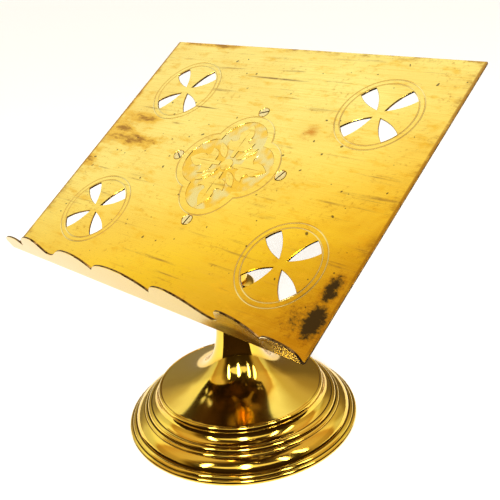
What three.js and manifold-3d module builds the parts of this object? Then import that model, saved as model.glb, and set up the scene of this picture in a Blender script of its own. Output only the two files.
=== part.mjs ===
// Tabletop bible stand in turned and sheet brass. A hollow stepped foot carries a trumpet-shaped column,
// a tie rod and nut draw the two together, and a pierced desk of folded sheet turns on a pin at the top.
// Millimetres, +Z up. The column's axis is Z, the foot stands on Z = 0 and the reader stands at -Y.
import * as THREE from 'three';
import Module from 'manifold-3d';
import { mergeVertices } from 'three/addons/utils/BufferGeometryUtils.js';

const wasm = await Module();
wasm.setup();

// Driving dimensions.
const footRadius = 109.5;
const dishRadius = 75.8;
const dishHeight = 36.4;
const columnTop = 132;
const deskWidth = 355.6;
const deskLength = 281;
const deskTilt = THREE.MathUtils.degToRad(33.3);
const deskCentre = new THREE.Vector3(0, 8, 248.8);
const sheet = 1.8;
const ledgeLean = THREE.MathUtils.degToRad(3);
const gap = 0.3;

// Fastenings and the swivel.
const rodRadius = 4.75;
const pinRadius = 8.8;
const stemRadius = 15.3;
const stemFoot = 143;
const stemShoulder = 214;
const tenonRadius = 10.5;
const tenonTop = 231;
const collarTop = 142.6;
const retainerHeight = 162;
const retainerRadius = 2.2;
const crossPinHeight = 222.5;
const crossPinRadius = 2;
const screwRing = 61.5;
const screwHeadRadius = 5.25;
const screwRadius = 2.4;
const armThickness = 6;
const armTop = -sheet - gap;
const armUnderside = armTop - armThickness;

// Ornament on the desk.
const rosetteX = 113.4;
const rosetteY = 75.75;
const rosetteOuter = 38;
const rosetteInner = 32.6;
const lobeOffset = 24;
const lobeOuter = 31.7;
const lobeInner = 25.3;
const lineWidth = 0.8;
const lineDepth = 0.35;
const lobeSteps = 14;

// Materials.
const metal = (color, roughness) => new THREE.MeshStandardMaterial({ color, metalness: 1, roughness });
const polishedBrass = () => metal(0xd9a935, 0.22);
const castBrass = () => metal(0xa87f35, 0.5);
const steel = () => metal(0x6f6a63, 0.45);

// A closed mesh as a solid for joining and cutting.
function solid(geometry) {
  const bare = geometry.clone();
  bare.deleteAttribute('normal');
  bare.deleteAttribute('uv');
  const merged = mergeVertices(bare, 1e-4);
  const index = merged.index.array;
  const triVerts = [];
  for (let i = 0; i < index.length; i += 3) {
    const [a, b, c] = index.slice(i, i + 3);
    if (a !== b && b !== c && c !== a) triVerts.push(a, b, c);
  }
  const mesh = new wasm.Mesh({
    numProp: 3,
    vertProperties: new Float32Array(merged.attributes.position.array),
    triVerts: new Uint32Array(triVerts),
  });
  return new wasm.Manifold(mesh);
}

// A solid back as a mesh.
function surface(body) {
  const { vertProperties, triVerts } = body.getMesh();
  const geometry = new THREE.BufferGeometry();
  geometry.setAttribute('position', new THREE.BufferAttribute(vertProperties, 3));
  geometry.setIndex(new THREE.BufferAttribute(triVerts, 1));
  geometry.computeVertexNormals();
  return geometry;
}

// A body turned about Z from a path whose x is the radius and whose y is the height.
function turned(path, segments, curveSteps = 6) {
  const geometry = new THREE.LatheGeometry(path.getPoints(curveSteps), segments);
  return geometry.rotateX(Math.PI / 2);
}

// An outline in X and Y raised from one height to another.
function raised(shape, low, high, curveSegments = 6) {
  const depth = high - low;
  return new THREE.ExtrudeGeometry(shape, { depth, bevelEnabled: false, curveSegments }).translate(0, 0, low);
}

// A round bar from one height to another.
function bar(radius, low, high, segments = 24) {
  return new THREE.CylinderGeometry(radius, radius, high - low, segments)
    .rotateX(Math.PI / 2)
    .translate(0, 0, (low + high) / 2);
}

function named(name, geometry, material) {
  const mesh = new THREE.Mesh(geometry, material);
  mesh.name = name;
  return mesh;
}

// ---------------------------------------------------------------- foot and column

// The foot is one casting: a stepped moulding outside, a web with the rod's hole on top, and a hollow
// beneath. The column's rim sits in a rebate in the web's edge.
function footCasting() {
  const webTop = 33.9;
  const webUnderside = 28.9;
  const path = new THREE.Path();
  path.moveTo(98.5, 0);
  path.lineTo(107.8, 0);
  path.quadraticCurveTo(footRadius, 0.2, footRadius, 2.6);
  path.quadraticCurveTo(footRadius, 4.8, 107.3, 5.1);
  path.lineTo(106.7, 4.4);
  path.quadraticCurveTo(106.4, 7.4, 103.5, 7.6);
  path.lineTo(102.8, 6.9);
  path.lineTo(102.6, 8.4);
  path.quadraticCurveTo(101.4, 14.4, 94.3, 17.7);
  path.lineTo(93.7, 17.2);
  path.quadraticCurveTo(93.3, 19.5, 91.4, 19.6);
  path.lineTo(90.7, 18.6);
  path.lineTo(90.4, 19.9);
  path.quadraticCurveTo(90.2, 23.3, 87.0, 23.4);
  path.lineTo(86.3, 22.4);
  path.lineTo(86.0, 23.5);
  path.quadraticCurveTo(79.9, 25.8, 79.4, 32.4);
  path.lineTo(78.6, 32.4);
  path.quadraticCurveTo(78.9, 36.2, 76.7, 36.6);
  path.lineTo(dishRadius + gap, 36.2);
  path.lineTo(dishRadius + gap, webTop);
  path.lineTo(rodRadius + 2 * gap, webTop);
  path.lineTo(rodRadius + 2 * gap, webUnderside);
  path.lineTo(70, webUnderside);
  path.lineTo(74, 25.5);
  path.lineTo(88, 13);
  path.lineTo(98.5, 3);
  path.lineTo(98.5, 0);
  return turned(path, 48, 3);
}

// The column is a shell of even thickness that sweeps up from a shallow dish to a slim neck. A solid
// plug at its top holds the rod.
function columnShell() {
  const plugUnderside = 112;
  const neck = 17.4;
  const path = new THREE.Path();
  path.moveTo(72.5, 34.2);
  path.lineTo(dishRadius, 34.2);
  path.lineTo(dishRadius, dishHeight - 0.4);
  path.lineTo(dishRadius - 0.5, dishHeight);
  path.bezierCurveTo(38, 45, 19.6, 52, neck, 100);
  path.lineTo(16.4, columnTop - 0.5);
  path.lineTo(15.9, columnTop);
  path.lineTo(rodRadius + gap, columnTop);
  path.lineTo(rodRadius + gap, plugUnderside);
  path.lineTo(13.6, plugUnderside);
  path.lineTo(neck - 2.7, 100);
  path.bezierCurveTo(16.9, 50, 38.5, 42, 72.5, 34.2);
  return turned(path, 40, 9);
}

// The collar is a half-round bead with a counterbore for the pin's flange.
function collarRing() {
  const underside = columnTop + gap;
  const boreRadius = 8.3;
  const sinkRadius = 11.9;
  const sinkFloor = 138.7;
  const path = new THREE.Path();
  path.moveTo(boreRadius, underside);
  path.lineTo(17.2, underside);
  path.quadraticCurveTo(21.7, 132.8, 21.7, 137.2);
  path.quadraticCurveTo(21.7, 141.4, 17.0, collarTop);
  path.lineTo(sinkRadius, collarTop);
  path.lineTo(sinkRadius, sinkFloor);
  path.lineTo(boreRadius, sinkFloor);
  path.lineTo(boreRadius, underside);
  return turned(path, 36, 4);
}

// The pin screws down on the rod, clamps the collar with its flange and is the desk's pivot. A groove
// round it takes the tip of the retaining screw.
function swivelPin() {
  const grooveHalf = retainerRadius + 0.4;
  const path = new THREE.Path();
  path.moveTo(0, 157);
  path.lineTo(rodRadius + gap, 157);
  path.lineTo(rodRadius + gap, 133);
  path.lineTo(8, 133);
  path.lineTo(8, 139);
  path.lineTo(11.6, 139);
  path.lineTo(11.6, collarTop - gap);
  path.lineTo(pinRadius, collarTop - gap);
  path.lineTo(pinRadius, retainerHeight - grooveHalf);
  path.lineTo(7.2, retainerHeight - grooveHalf);
  path.lineTo(7.2, retainerHeight + grooveHalf);
  path.lineTo(pinRadius, retainerHeight + grooveHalf);
  path.lineTo(pinRadius, 203.8);
  path.lineTo(pinRadius - 1.2, 205);
  path.lineTo(0, 205);
  return turned(path, 28);
}

function tieRod() {
  const path = new THREE.Path();
  path.moveTo(0, 12);
  path.lineTo(rodRadius - 0.8, 12);
  path.lineTo(rodRadius, 12.8);
  path.lineTo(rodRadius, 155.8);
  path.lineTo(rodRadius - 0.8, 156.6);
  path.lineTo(0, 156.6);
  return turned(path, 24);
}

function hexagon(acrossFlats, holeRadius) {
  const cornerRadius = acrossFlats / 2 / Math.cos(Math.PI / 6);
  const corners = [];
  for (let i = 0; i < 6; i += 1) {
    const angle = (i * Math.PI) / 3;
    corners.push(new THREE.Vector2(cornerRadius * Math.cos(angle), cornerRadius * Math.sin(angle)));
  }
  const shape = new THREE.Shape(corners);
  shape.holes.push(new THREE.Path().absarc(0, 0, holeRadius, 0, 2 * Math.PI));
  return shape;
}

function disc(radius, holeRadius) {
  const shape = new THREE.Shape().absarc(0, 0, radius, 0, 2 * Math.PI);
  shape.holes.push(new THREE.Path().absarc(0, 0, holeRadius, 0, 2 * Math.PI));
  return shape;
}

// ---------------------------------------------------------------- swivelling head

// The stem is a tube over the pin, with a tenon on top for the bracket.
function stemTube() {
  const boreTop = 206;
  const boreRadius = pinRadius + gap;
  const path = new THREE.Path();
  path.moveTo(0, boreTop);
  path.lineTo(boreRadius, boreTop);
  path.lineTo(boreRadius, stemFoot);
  path.lineTo(stemRadius - 0.6, stemFoot);
  path.lineTo(stemRadius, stemFoot + 0.6);
  path.lineTo(stemRadius, stemShoulder - 0.6);
  path.lineTo(stemRadius - 0.6, stemShoulder);
  path.lineTo(tenonRadius, stemShoulder);
  path.lineTo(tenonRadius, tenonTop - 0.6);
  path.lineTo(tenonRadius - 0.6, tenonTop);
  path.lineTo(0, tenonTop);
  const retainerHole = bar(retainerRadius + gap, -20, -pinRadius + 2, 16)
    .rotateX(Math.PI / 2)
    .translate(0, 0, retainerHeight);
  const crossHole = bar(crossPinRadius + gap, -20, 20, 16)
    .rotateY(Math.PI / 2)
    .translate(0, 0, crossPinHeight);
  return surface(solid(turned(path, 36)).subtract(solid(retainerHole)).subtract(solid(crossHole)));
}

// A cheese-head screw in the back of the stem. Its tip runs in the pin's groove and keeps the desk on.
function retainingScrew() {
  const path = new THREE.Path();
  path.moveTo(0, 7.6);
  path.lineTo(retainerRadius, 7.6);
  path.lineTo(retainerRadius, stemRadius + gap);
  path.lineTo(4.2, stemRadius + gap);
  path.lineTo(4.2, stemRadius + 2.2);
  path.lineTo(3.7, stemRadius + 2.7);
  path.lineTo(0, stemRadius + 2.7);
  const slot = new THREE.BoxGeometry(1.1, 10, 2.4).translate(0, 0, stemRadius + 2.7);
  const body = surface(solid(turned(path, 20)).subtract(solid(slot)));
  return body.rotateX(-Math.PI / 2).translate(0, 0, retainerHeight);
}

function crossPin() {
  return bar(crossPinRadius, -15.7, 15.7, 16).rotateY(Math.PI / 2).translate(0, 0, crossPinHeight);
}

// The desk's own frame has X along the ledge, Y up the slope and Z out of its upper face. The stand's
// upright pieces are brought into it through the inverse of its placing.
const deskPlacing = new THREE.Matrix4().makeRotationX(deskTilt).setPosition(deskCentre);
const intoDesk = deskPlacing.clone().invert();

const screwPlaces = [
  { name: 'right', angle: 0, slot: 1.2 },
  { name: 'top', angle: Math.PI / 2, slot: 0.4 },
  { name: 'left', angle: Math.PI, slot: -0.6 },
  { name: 'bottom', angle: -Math.PI / 2, slot: 1.45 },
];

// The space a countersunk screw takes, grown by a clearance all round.
function countersink(clearance) {
  const neck = screwRadius + clearance;
  const head = screwHeadRadius + clearance;
  const path = new THREE.Path();
  path.moveTo(0, -20);
  path.lineTo(neck, -20);
  path.lineTo(neck, neck - head);
  path.lineTo(head, 0);
  path.lineTo(head, 1);
  path.lineTo(0, 1);
  return turned(path, 20);
}

// Four arms on a round hub, with an upright socket for the stem's tenon.
function deskBracket() {
  const hubRadius = 27;
  const hubY = -5;
  const bossRadius = 16;
  const arm = new THREE.Shape();
  arm.moveTo(0, -11);
  arm.lineTo(screwRing, -8);
  arm.absarc(screwRing, 0, 8, -Math.PI / 2, Math.PI / 2);
  arm.lineTo(0, 11);
  arm.closePath();
  let body = solid(bar(hubRadius, armUnderside, armTop, 36).translate(0, hubY, 0));
  for (const place of screwPlaces) {
    body = body.add(solid(raised(arm, armUnderside, armTop).rotateZ(place.angle)));
  }
  const boss = solid(bar(bossRadius, stemShoulder + gap, 260, 32).applyMatrix4(intoDesk));
  const belowTheArms = solid(new THREE.BoxGeometry(200, 200, 90).translate(0, 0, armTop - 45));
  body = body.add(boss.intersect(belowTheArms));
  const socket = bar(tenonRadius + gap, 200, tenonTop + gap, 32).applyMatrix4(intoDesk);
  body = body.subtract(solid(socket));
  const crossHole = bar(crossPinRadius + gap, -30, 30, 16)
    .rotateY(Math.PI / 2)
    .translate(0, 0, crossPinHeight)
    .applyMatrix4(intoDesk);
  body = body.subtract(solid(crossHole));
  for (const place of screwPlaces) {
    const x = screwRing * Math.cos(place.angle);
    const y = screwRing * Math.sin(place.angle);
    body = body.subtract(solid(countersink(gap).translate(x, y, 0)));
  }
  return surface(body);
}

// ---------------------------------------------------------------- desk

// The desk and its ledge are one sheet. This is its section, with Y up the slope as the shape's x.
function foldedSheet() {
  const insideBend = 1.2;
  const outsideBend = insideBend + sheet;
  const foldX = -deskLength / 2 + outsideBend / Math.cos(ledgeLean) + insideBend * Math.tan(ledgeLean);
  const tallest = 40;
  const alongLedge = new THREE.Vector2(Math.sin(ledgeLean), Math.cos(ledgeLean));
  const outward = new THREE.Vector2(-Math.cos(ledgeLean), Math.sin(ledgeLean));
  const centre = new THREE.Vector2(foldX, insideBend);
  const outerTip = centre.clone().addScaledVector(outward, outsideBend).addScaledVector(alongLedge, tallest);
  const innerTip = centre.clone().addScaledVector(outward, insideBend).addScaledVector(alongLedge, tallest);
  const ledgeAngle = Math.PI - ledgeLean;
  const section = new THREE.Shape();
  section.moveTo(deskLength / 2, -sheet);
  section.lineTo(centre.x, -sheet);
  section.absarc(centre.x, centre.y, outsideBend, -Math.PI / 2, ledgeAngle, true);
  section.lineTo(outerTip.x, outerTip.y);
  section.lineTo(innerTip.x, innerTip.y);
  section.absarc(centre.x, centre.y, insideBend, ledgeAngle, -Math.PI / 2, false);
  section.lineTo(deskLength / 2, 0);
  section.closePath();
  const toDesk = new THREE.Matrix4().makeBasis(
    new THREE.Vector3(0, 1, 0),
    new THREE.Vector3(0, 0, 1),
    new THREE.Vector3(1, 0, 0),
  );
  return raised(section, -deskWidth / 2, deskWidth / 2, 6).applyMatrix4(toDesk);
}

// One half of the ledge's scalloped edge, from its end at +X to the middle.
function scallopHalf(edge) {
  edge.lineTo(deskWidth / 2, 9);
  edge.bezierCurveTo(177.6, 16, 168, 20.6, 158, 20.8);
  edge.quadraticCurveTo(150.5, 20.6, 146.6, 14.6);
  edge.quadraticCurveTo(136.5, 31.6, 120, 32.2);
  edge.quadraticCurveTo(111.4, 32.2, 109.8, 24);
  edge.quadraticCurveTo(108.4, 15.6, 103, 15.6);
  edge.bezierCurveTo(90, 16.4, 81, 33.2, 60, 33.4);
  edge.quadraticCurveTo(44, 33.4, 36.4, 20.2);
  edge.quadraticCurveTo(23.5, 33.8, 0, 34);
}

// What is cut away above the scallops, in the ledge's own plane.
function scallopCutter() {
  const half = new THREE.Path();
  half.moveTo(deskWidth / 2 + 2, 9);
  scallopHalf(half);
  const right = half.getPoints(5);
  const left = right.slice(0, -1).map((p) => new THREE.Vector2(-p.x, p.y));
  const above = new THREE.Shape([
    new THREE.Vector2(-deskWidth / 2 - 2, 60),
    ...left,
    ...right.reverse(),
    new THREE.Vector2(deskWidth / 2 + 2, 60),
  ]);
  const toDesk = new THREE.Matrix4().makeBasis(
    new THREE.Vector3(1, 0, 0),
    new THREE.Vector3(0, Math.sin(ledgeLean), Math.cos(ledgeLean)),
    new THREE.Vector3(0, -Math.cos(ledgeLean), Math.sin(ledgeLean)),
  );
  return raised(above, -6, 3).applyMatrix4(toDesk).translate(0, -deskLength / 2, 0);
}

// One petal-shaped piercing of a rosette, pointed at the centre.
function petal() {
  const spread = THREE.MathUtils.degToRad(12);
  const tip = 5.4;
  const belly = 7.6;
  const shape = new THREE.Shape();
  const midway = (tip + rosetteInner) / 2;
  const low = new THREE.Vector2(rosetteInner * Math.cos(spread), -rosetteInner * Math.sin(spread));
  shape.moveTo(tip, 0);
  shape.quadraticCurveTo(midway, -belly, low.x, low.y);
  shape.absarc(0, 0, rosetteInner, -spread, spread);
  shape.quadraticCurveTo(midway, belly, tip, 0);
  return shape;
}

// A ring-shaped engraved line round a circle.
function engravedCircle(radius) {
  return disc(radius + lineWidth / 2, radius - lineWidth / 2);
}

// The outline of four overlapping lobes, as a closed path.
function quatrefoil(path, lobeRadius) {
  const half = Math.PI / 4 + Math.asin(lobeOffset / Math.SQRT2 / lobeRadius);
  const points = [];
  for (let i = 0; i < 4; i += 1) {
    const angle = (i * Math.PI) / 2;
    for (let step = 0; step < lobeSteps; step += 1) {
      const around = angle - half + (2 * half * step) / lobeSteps;
      const x = lobeOffset * Math.cos(angle) + lobeRadius * Math.cos(around);
      const y = lobeOffset * Math.sin(angle) + lobeRadius * Math.sin(around);
      points.push(new THREE.Vector2(x, y));
    }
  }
  return path.setFromPoints(points);
}

// The ornament's raised leaves: a boss, four fleurs in the lobes and four leaves towards the cusps.
function ornamentLeaves() {
  const leaves = [new THREE.Path().absarc(0, 0, 6, 0, 2 * Math.PI)];
  for (let i = 0; i < 4; i += 1) {
    leaves.push(fleur((i * Math.PI) / 2));
    leaves.push(slimLeaf((i * Math.PI) / 2 + Math.PI / 4));
  }
  return leaves;
}

function fleur(angle) {
  const outline = turnedPath(angle);
  outline.moveTo(8.4, -2);
  outline.lineTo(16, -2.4);
  outline.quadraticCurveTo(14, -13, 26.5, -14.5);
  outline.quadraticCurveTo(23, -9, 28, -5.2);
  outline.quadraticCurveTo(34, -11, 45.5, 0);
  outline.quadraticCurveTo(34, 11, 28, 5.2);
  outline.quadraticCurveTo(23, 9, 26.5, 14.5);
  outline.quadraticCurveTo(14, 13, 16, 2.4);
  outline.lineTo(8.4, 2);
  outline.closePath();
  return outline.path;
}

function slimLeaf(angle) {
  const outline = turnedPath(angle);
  outline.moveTo(9.5, 0);
  outline.quadraticCurveTo(19, -7, 30.5, 0);
  outline.quadraticCurveTo(19, 7, 9.5, 0);
  outline.closePath();
  return outline.path;
}

// A path drawn along a ray from the centre at the given angle.
function turnedPath(angle) {
  const path = new THREE.Path();
  const cos = Math.cos(angle);
  const sin = Math.sin(angle);
  const turn = (x, y) => [x * cos - y * sin, x * sin + y * cos];
  return {
    path,
    moveTo: (x, y) => path.moveTo(...turn(x, y)),
    lineTo: (x, y) => path.lineTo(...turn(x, y)),
    quadraticCurveTo: (cx, cy, x, y) => path.quadraticCurveTo(...turn(cx, cy), ...turn(x, y)),
    closePath: () => path.closePath(),
  };
}

function deskPlate() {
  let body = solid(foldedSheet()).subtract(solid(scallopCutter()));
  const cut = (tool) => {
    body = body.subtract(solid(tool));
  };
  for (const sideX of [-1, 1]) {
    for (const sideY of [-1, 1]) {
      for (const radius of [rosetteOuter, rosetteInner]) {
        const ring = raised(engravedCircle(radius), -lineDepth, 1, 16);
        cut(ring.translate(sideX * rosetteX, sideY * rosetteY, 0));
      }
      for (let i = 0; i < 4; i += 1) {
        const hole = raised(petal(), -5, 1, 4).rotateZ((i + 0.5) * Math.PI / 2);
        cut(hole.translate(sideX * rosetteX, sideY * rosetteY, 0));
      }
    }
  }
  const border = quatrefoil(new THREE.Shape(), lobeOuter + lineWidth / 2);
  border.holes.push(quatrefoil(new THREE.Path(), lobeOuter - lineWidth / 2));
  cut(raised(border, -lineDepth, 1, 4));
  const ground = quatrefoil(new THREE.Shape(), lobeInner);
  ground.holes.push(...ornamentLeaves());
  cut(raised(ground, -lineDepth, 1, 4));
  for (const place of screwPlaces) {
    const x = screwRing * Math.cos(place.angle);
    const y = screwRing * Math.sin(place.angle);
    cut(countersink(gap).translate(x, y, 0));
  }
  return surface(body);
}

// A countersunk machine screw with its head flush with the desk.
function deskScrew(slotAngle) {
  const path = new THREE.Path();
  path.moveTo(0, -14.6);
  path.lineTo(screwRadius - 0.5, -14.6);
  path.lineTo(screwRadius, -14.1);
  path.lineTo(screwRadius, screwRadius - screwHeadRadius);
  path.lineTo(screwHeadRadius, 0);
  path.lineTo(0, 0);
  const slot = new THREE.BoxGeometry(14, 1.3, 2.2).rotateZ(slotAngle);
  return surface(solid(turned(path, 20)).subtract(solid(slot)));
}

// ---------------------------------------------------------------- assembly

const stand = new THREE.Group();
stand.add(named('foot_casting', footCasting(), polishedBrass()));
stand.add(named('column', columnShell(), polishedBrass()));
stand.add(named('collar', collarRing(), polishedBrass()));
stand.add(named('swivel_pin', swivelPin(), castBrass()));
stand.add(named('tie_rod', tieRod(), steel()));
stand.add(named('rod_washer', raised(disc(20, rodRadius + gap), 25.9, 28.6, 16), steel()));
stand.add(named('rod_nut', raised(hexagon(17, rodRadius + gap), 17.6, 25.6, 12), steel()));

const head = new THREE.Group();
head.add(named('stem', stemTube(), polishedBrass()));
head.add(named('retaining_screw', retainingScrew(), polishedBrass()));
head.add(named('cross_pin', crossPin(), castBrass()));
stand.add(head);

const nutTop = armUnderside - gap;
const nutHeight = 4;
const desk = new THREE.Group();
desk.position.copy(deskCentre);
desk.rotation.x = deskTilt;
desk.add(named('desk_bracket', deskBracket(), castBrass()));
desk.add(named('desk_plate', deskPlate(), polishedBrass()));
for (const place of screwPlaces) {
  const x = screwRing * Math.cos(place.angle);
  const y = screwRing * Math.sin(place.angle);
  const screw = named(`screw_${place.name}`, deskScrew(place.slot), polishedBrass());
  screw.position.set(x, y, 0);
  desk.add(screw);
  const nutShape = hexagon(8.8, screwRadius + gap);
  const nut = named(`nut_${place.name}`, raised(nutShape, nutTop - nutHeight, nutTop), castBrass());
  nut.position.set(x, y, 0);
  desk.add(nut);
}
head.add(desk);

export default stand;
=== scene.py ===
"""Looks for the bible stand: brass pieces round the CAD frame, a pale floor, soft light and the camera.

Lengths in the shape functions are in millimetres and become metres when a mesh is made. Places in the
materials are in metres. The desk's own frame has X along the ledge, Y up the slope and Z out of its upper
face, as in the CAD.
"""
import math

import bmesh
import bpy
from mathutils import Matrix, Vector
from mathutils.geometry import delaunay_2d_cdt


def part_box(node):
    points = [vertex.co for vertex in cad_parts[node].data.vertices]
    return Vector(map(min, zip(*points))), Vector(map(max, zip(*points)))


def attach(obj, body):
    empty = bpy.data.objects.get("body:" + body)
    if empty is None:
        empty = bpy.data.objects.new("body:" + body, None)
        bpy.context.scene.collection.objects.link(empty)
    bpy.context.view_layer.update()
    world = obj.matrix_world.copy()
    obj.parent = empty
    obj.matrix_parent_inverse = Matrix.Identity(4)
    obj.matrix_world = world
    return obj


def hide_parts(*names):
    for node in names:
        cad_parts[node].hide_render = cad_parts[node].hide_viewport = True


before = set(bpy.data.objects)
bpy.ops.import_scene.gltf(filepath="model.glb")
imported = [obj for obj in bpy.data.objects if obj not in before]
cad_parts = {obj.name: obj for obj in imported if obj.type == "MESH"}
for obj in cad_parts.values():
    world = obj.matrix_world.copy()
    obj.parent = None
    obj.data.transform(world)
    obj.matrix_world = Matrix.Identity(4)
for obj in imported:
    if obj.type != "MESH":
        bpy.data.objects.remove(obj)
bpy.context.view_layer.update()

scene = bpy.context.scene
MM = 0.001


# ---------------------------------------------------------------- sizes from the frame

def box_mm(node):
    """A CAD node's lowest and highest corner, in millimetres."""
    low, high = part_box(node)
    return low / MM, high / MM


_, foot_high = box_mm("foot_casting")
_, column_high = box_mm("column")
collar_low, collar_high = box_mm("collar")
stem_low, stem_high = box_mm("stem")
plate_low, plate_high = box_mm("desk_plate")
retainer_low, retainer_high = box_mm("retaining_screw")

GAP = 0.3
FOOT_RADIUS = foot_high.x
DISH_RADIUS = column_high.x
DISH_HEIGHT = 36.4
COLUMN_TOP = column_high.z
COLLAR_RADIUS = collar_high.x
COLLAR_TOP = collar_high.z
STEM_RADIUS = stem_high.x
DESK_WIDTH = plate_high.x - plate_low.x
DESK_LENGTH = 281
DESK_TILT = math.radians(33.3)
DESK_CENTRE = Vector((0, 8, 248.8))
SHEET = 1.8
LEDGE_LEAN = math.radians(3)
INSIDE_BEND = 1.2
OUTSIDE_BEND = INSIDE_BEND + SHEET
SCREW_RING = 61.5
SCREW_RADIUS = 2.4
SCREW_HEAD = 5.25
RETAINER_HEIGHT = (retainer_low.z + retainer_high.z) / 2
RETAINER_HEAD = (retainer_high.x - retainer_low.x) / 2
BRACKET_ARM = 6
NUT_HEIGHT = 4
NUT_FLATS = 8.8
ROD_NUT_FLATS = 17
ROD_HOLE = 5.05
# Each screw's place round its ring in degrees, and how far its slot is turned in radians.
SCREWS = {"right": (0, 1.2), "top": (90, 0.4), "left": (180, -0.6), "bottom": (-90, 1.45)}

DESK_FRAME = Matrix.Translation(DESK_CENTRE * MM) @ Matrix.Rotation(DESK_TILT, 4, "X")


def screw_spot(angle):
    """X and Y on the desk of the screws' ring at so many degrees."""
    turn = math.radians(angle)
    return SCREW_RING * math.cos(turn), SCREW_RING * math.sin(turn)


def screw_frame(angle):
    """The frame of a screw: its origin on the desk's face, its Z out of the desk."""
    return DESK_FRAME @ Matrix.Translation(Vector((*screw_spot(angle), 0)) * MM)


# ---------------------------------------------------------------- outlines

class Outline:
    """Points along straight runs and Bezier curves."""

    def __init__(self, x, y):
        self.points = [Vector((x, y))]

    def line(self, x, y):
        self.points.append(Vector((x, y)))
        return self

    def quad(self, cx, cy, x, y, steps=8):
        a, b, c = self.points[-1].copy(), Vector((cx, cy)), Vector((x, y))
        for i in range(1, steps + 1):
            t = i / steps
            self.points.append((1 - t) ** 2 * a + 2 * t * (1 - t) * b + t * t * c)
        return self

    def cubic(self, bx, by, cx, cy, x, y, steps=24):
        a, b, c, d = self.points[-1].copy(), Vector((bx, by)), Vector((cx, cy)), Vector((x, y))
        for i in range(1, steps + 1):
            t = i / steps
            s = 1 - t
            self.points.append(s ** 3 * a + 3 * s * s * t * b + 3 * s * t * t * c + t ** 3 * d)
        return self


def circle(x, y, radius, steps=96):
    """Points round a circle, anticlockwise."""
    turn = 2 * math.pi / steps
    return [Vector((x + radius * math.cos(i * turn), y + radius * math.sin(i * turn))) for i in range(steps)]


def turned_about(points, angle, centre):
    """The points turned about the origin, then moved to a centre."""
    turn = Matrix.Rotation(angle, 2)
    return [turn @ p + Vector(centre) for p in points]


def area(points):
    """The area within a closed outline, negative if it runs clockwise."""
    return sum(a.cross(b) for a, b in zip(points, points[1:] + points[:1])) / 2


def grown(points, distance):
    """A closed outline moved outwards by a distance, or inwards if it is negative."""
    side = 1 if area(points) > 0 else -1
    moved = []
    count = len(points)
    for i, point in enumerate(points):
        before = (point - points[i - 1]).normalized()
        after = (points[(i + 1) % count] - point).normalized()
        normals = [Vector((d.y, -d.x)) * side for d in (before, after)]
        mean = (normals[0] + normals[1]).normalized()
        mitre = min(1 / max(mean.dot(normals[0]), 0.3), 2)
        moved.append(point + mean * distance * mitre)
    return moved


def softened(points, radius, least_turn=20):
    """A closed outline with every corner sharper than least_turn degrees rounded off."""
    result = []
    count = len(points)
    for i, point in enumerate(points):
        to_last, to_next = points[i - 1] - point, points[(i + 1) % count] - point
        turn = math.pi - to_last.angle(to_next)
        if turn < math.radians(least_turn):
            result.append(point)
            continue
        reach = min(radius * math.tan(turn / 2), 0.4 * to_last.length, 0.4 * to_next.length)
        start = point + to_last.normalized() * reach
        end = point + to_next.normalized() * reach
        for t in (0, 0.25, 0.5, 0.75, 1):
            result.append((1 - t) ** 2 * start + 2 * t * (1 - t) * point + t * t * end)
    return result


class Region:
    """The inside of a closed outline."""

    def __init__(self, outline):
        self.sides = list(zip(outline, outline[1:] + outline[:1]))
        self.low = Vector((min(p.x for p in outline), min(p.y for p in outline)))
        self.high = Vector((max(p.x for p in outline), max(p.y for p in outline)))

    def __contains__(self, point):
        x, y = point
        if not (self.low.x < x < self.high.x and self.low.y < y < self.high.y):
            return False
        crossed = [(a.y > y) != (b.y > y) and x < (b.x - a.x) * (y - a.y) / (b.y - a.y) + a.x
                   for a, b in self.sides]
        return sum(crossed) % 2 == 1


# ---------------------------------------------------------------- mesh helpers

def made(name, vertices, faces, matrix=None, slots=None):
    """A mesh object from points in millimetres, with each face's material slot number."""
    mesh = bpy.data.meshes.new(name)
    mesh.from_pydata([Vector(v) * MM for v in vertices], [], faces)
    mesh.update()
    if slots:
        mesh.polygons.foreach_set("material_index", slots)
    if matrix is not None:
        mesh.transform(matrix)
    piece = bpy.data.objects.new(name, mesh)
    scene.collection.objects.link(piece)
    return piece


def finished(piece, sharp, *materials):
    """The piece in its materials, with smooth shading between edges sharper than so many degrees."""
    piece.data.polygons.foreach_set("use_smooth", [True] * len(piece.data.polygons))
    piece.data.set_sharp_from_angle(angle=math.radians(sharp))
    for material in materials:
        piece.data.materials.append(material)
    return piece


def lathe(name, profile, segments, second=None):
    """A closed outline of radius and height turned about Z. Faces whose profile edge meets the test
    second(a, b) take the second material slot."""
    vertices, rings = [], []
    for radius, height in profile:
        if radius < 1e-4:
            rings.append([len(vertices)] * segments)
            vertices.append((0, 0, height))
            continue
        rings.append(list(range(len(vertices), len(vertices) + segments)))
        for i in range(segments):
            angle = 2 * math.pi * i / segments
            vertices.append((radius * math.cos(angle), radius * math.sin(angle), height))
    faces, slots = [], []
    for k, low in enumerate(rings):
        high = rings[(k + 1) % len(rings)]
        if low[0] == low[1] and high[0] == high[1]:
            continue
        slot = int(bool(second and second(profile[k], profile[(k + 1) % len(rings)])))
        for i in range(segments):
            j = (i + 1) % segments
            face = [low[i], low[j], high[j], high[i]]
            faces.append([v for n, v in enumerate(face) if v not in face[:n]])
            slots.append(slot)
    piece = made(name, vertices, faces, slots=slots)
    shape = bmesh.new()
    shape.from_mesh(piece.data)
    bmesh.ops.recalc_face_normals(shape, faces=shape.faces)
    shape.to_mesh(piece.data)
    shape.free()
    return piece


def settled(piece):
    """The piece with its modifiers applied."""
    evaluated = piece.evaluated_get(bpy.context.evaluated_depsgraph_get())
    mesh = bpy.data.meshes.new_from_object(evaluated)
    piece.modifiers.clear()
    piece.data = mesh
    return piece


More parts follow.
